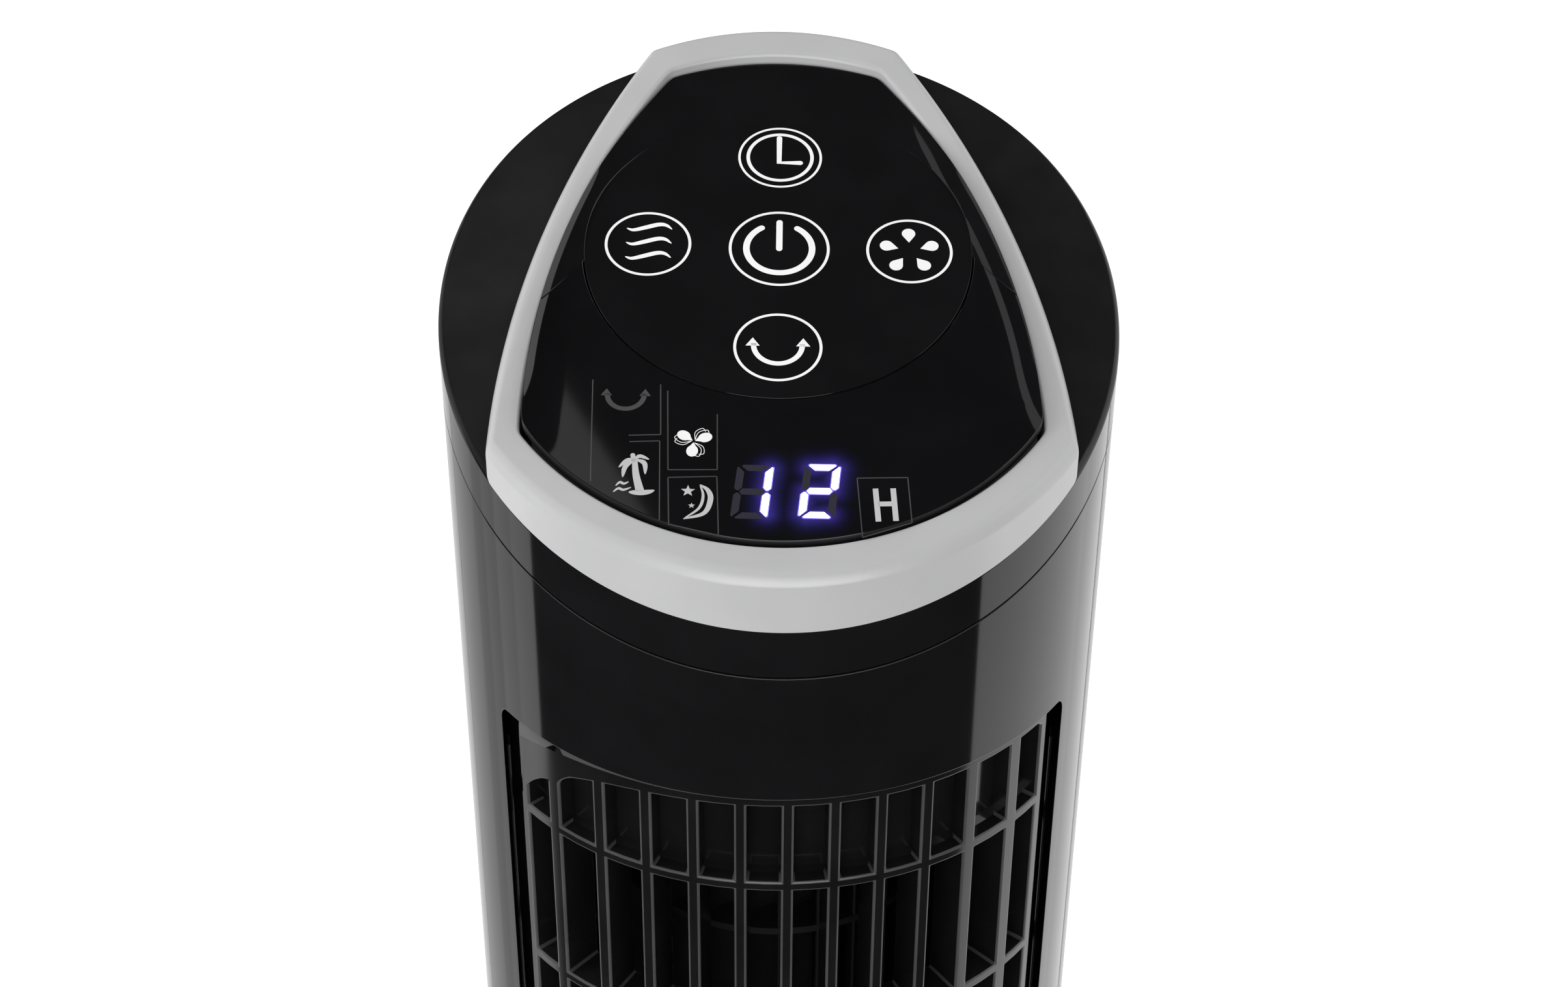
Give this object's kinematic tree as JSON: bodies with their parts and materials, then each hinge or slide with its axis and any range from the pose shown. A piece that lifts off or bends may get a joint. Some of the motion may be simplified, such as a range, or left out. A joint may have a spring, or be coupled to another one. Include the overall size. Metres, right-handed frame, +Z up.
{
  "type": "tower fan",
  "caption": "Oscillating tower fan with a slotted outlet grille, cross-flow impeller, round base and a sloping touch panel in a silver frame.",
  "frame": {"origin": "on the floor under the middle of the round base", "axes": "+Z up along the tower, -Y out of the outlet grille, +X to the right of someone facing the grille"},
  "size_m": [0.23, 0.2297, 0.7398],
  "materials": {
    "body_black": "high gloss",
    "base_black": "high gloss",
    "cap_black": "satin",
    "grille_black": "semi-gloss",
    "inner_black": "moulded",
    "panel_black": "high gloss",
    "lens_smoke": "smoked window",
    "trim_silver": "satin silver paint",
    "rubber": "matt",
    "steel": "bright zinc",
    "shaft_steel": "ground",
    "spring_steel": "blued",
    "bell_metal": "zinc coated sheet",
    "core_iron": "laminated",
    "copper": "enamelled wire",
    "bronze": "sintered",
    "rotor_cage": "machined",
    "acetal": "natural",
    "gear_white": "natural",
    "wheel_grey": "glass filled",
    "board_green": "solder mask",
    "foam": "foam",
    "parts_grey": "mixed parts",
    "display_face": "seven-segment block",
    "guide_white": "white",
    "eye_black": "dark",
    "capacitor_can": "white case"
  },
  "bodies": {
    "base": {"base_shell": "base_black", "base_plate": "inner_black", "rubber_feet": "rubber", "base_screws": "steel", "pivot_post": "acetal", "post_screws": "steel", "fixed_gear": "gear_white", "gear_clip": "spring_steel", "slide_ring": "acetal", "cord_grommet": "rubber", "terminal_block": "capacitor_can"},
    "tower": {"front_shell": "body_black", "rear_shell": "body_black", "shell_screws": "steel", "front_grille": "grille_black", "lower_bulkhead": "inner_black", "upper_bulkhead": "inner_black", "tower_floor": "inner_black", "scroll_wall": "inner_black", "tongue_wall": "inner_black", "top_bearing": "bronze", "bearing_rubber": "rubber", "motor_lower_bell": "bell_metal", "motor_upper_bell": "bell_metal", "motor_stator": "core_iron", "motor_windings": "copper", "motor_bearings": "bronze", "motor_dampers": "rubber", "motor_bolts": "steel", "motor_capacitor": "capacitor_can", "capacitor_clip": "spring_steel", "swing_motor": "bell_metal", "swing_screws": "steel", "top_cap": "cap_black", "trim_frame": "trim_silver", "head_screws": "steel", "touch_plate": "panel_black", "display_lens": "lens_smoke", "control_tray": "inner_black", "control_board": "board_green", "tray_screws": "steel", "touch_pads": "foam", "digit_display": "display_face", "light_guide": "guide_white", "ir_receiver": "eye_black", "buzzer": "parts_grey", "power_board": "board_green", "board_screws": "steel", "power_components": "parts_grey"},
    "rotor": {"impeller": "wheel_grey", "hub_screw": "steel", "top_journal": "shaft_steel", "motor_rotor": "rotor_cage", "motor_shaft": "shaft_steel"},
    "pinion": {"drive_pinion": "gear_white"}
  },
  "joints": [
    {"name": "oscillate", "type": "hinge", "parent": "base", "child": "tower", "pos_m": [0, 0, 0.041], "axis": [0, 0, 1], "range_deg": [-35, 35]},
    {"name": "impeller_spin", "type": "hinge", "parent": "tower", "child": "rotor", "pos_m": [0, 0.012, 0.2], "axis": [0, 0, 1], "continuous": true},
    {"name": "pinion_spin", "type": "hinge", "parent": "tower", "child": "pinion", "pos_m": [0, 0.0375, 0.0535], "axis": [0, 0, 1], "range_deg": [-141, 141]}
  ],
  "couplings": [
    {"joint": "pinion_spin", "follows": "oscillate", "ratio": 4}
  ]
}
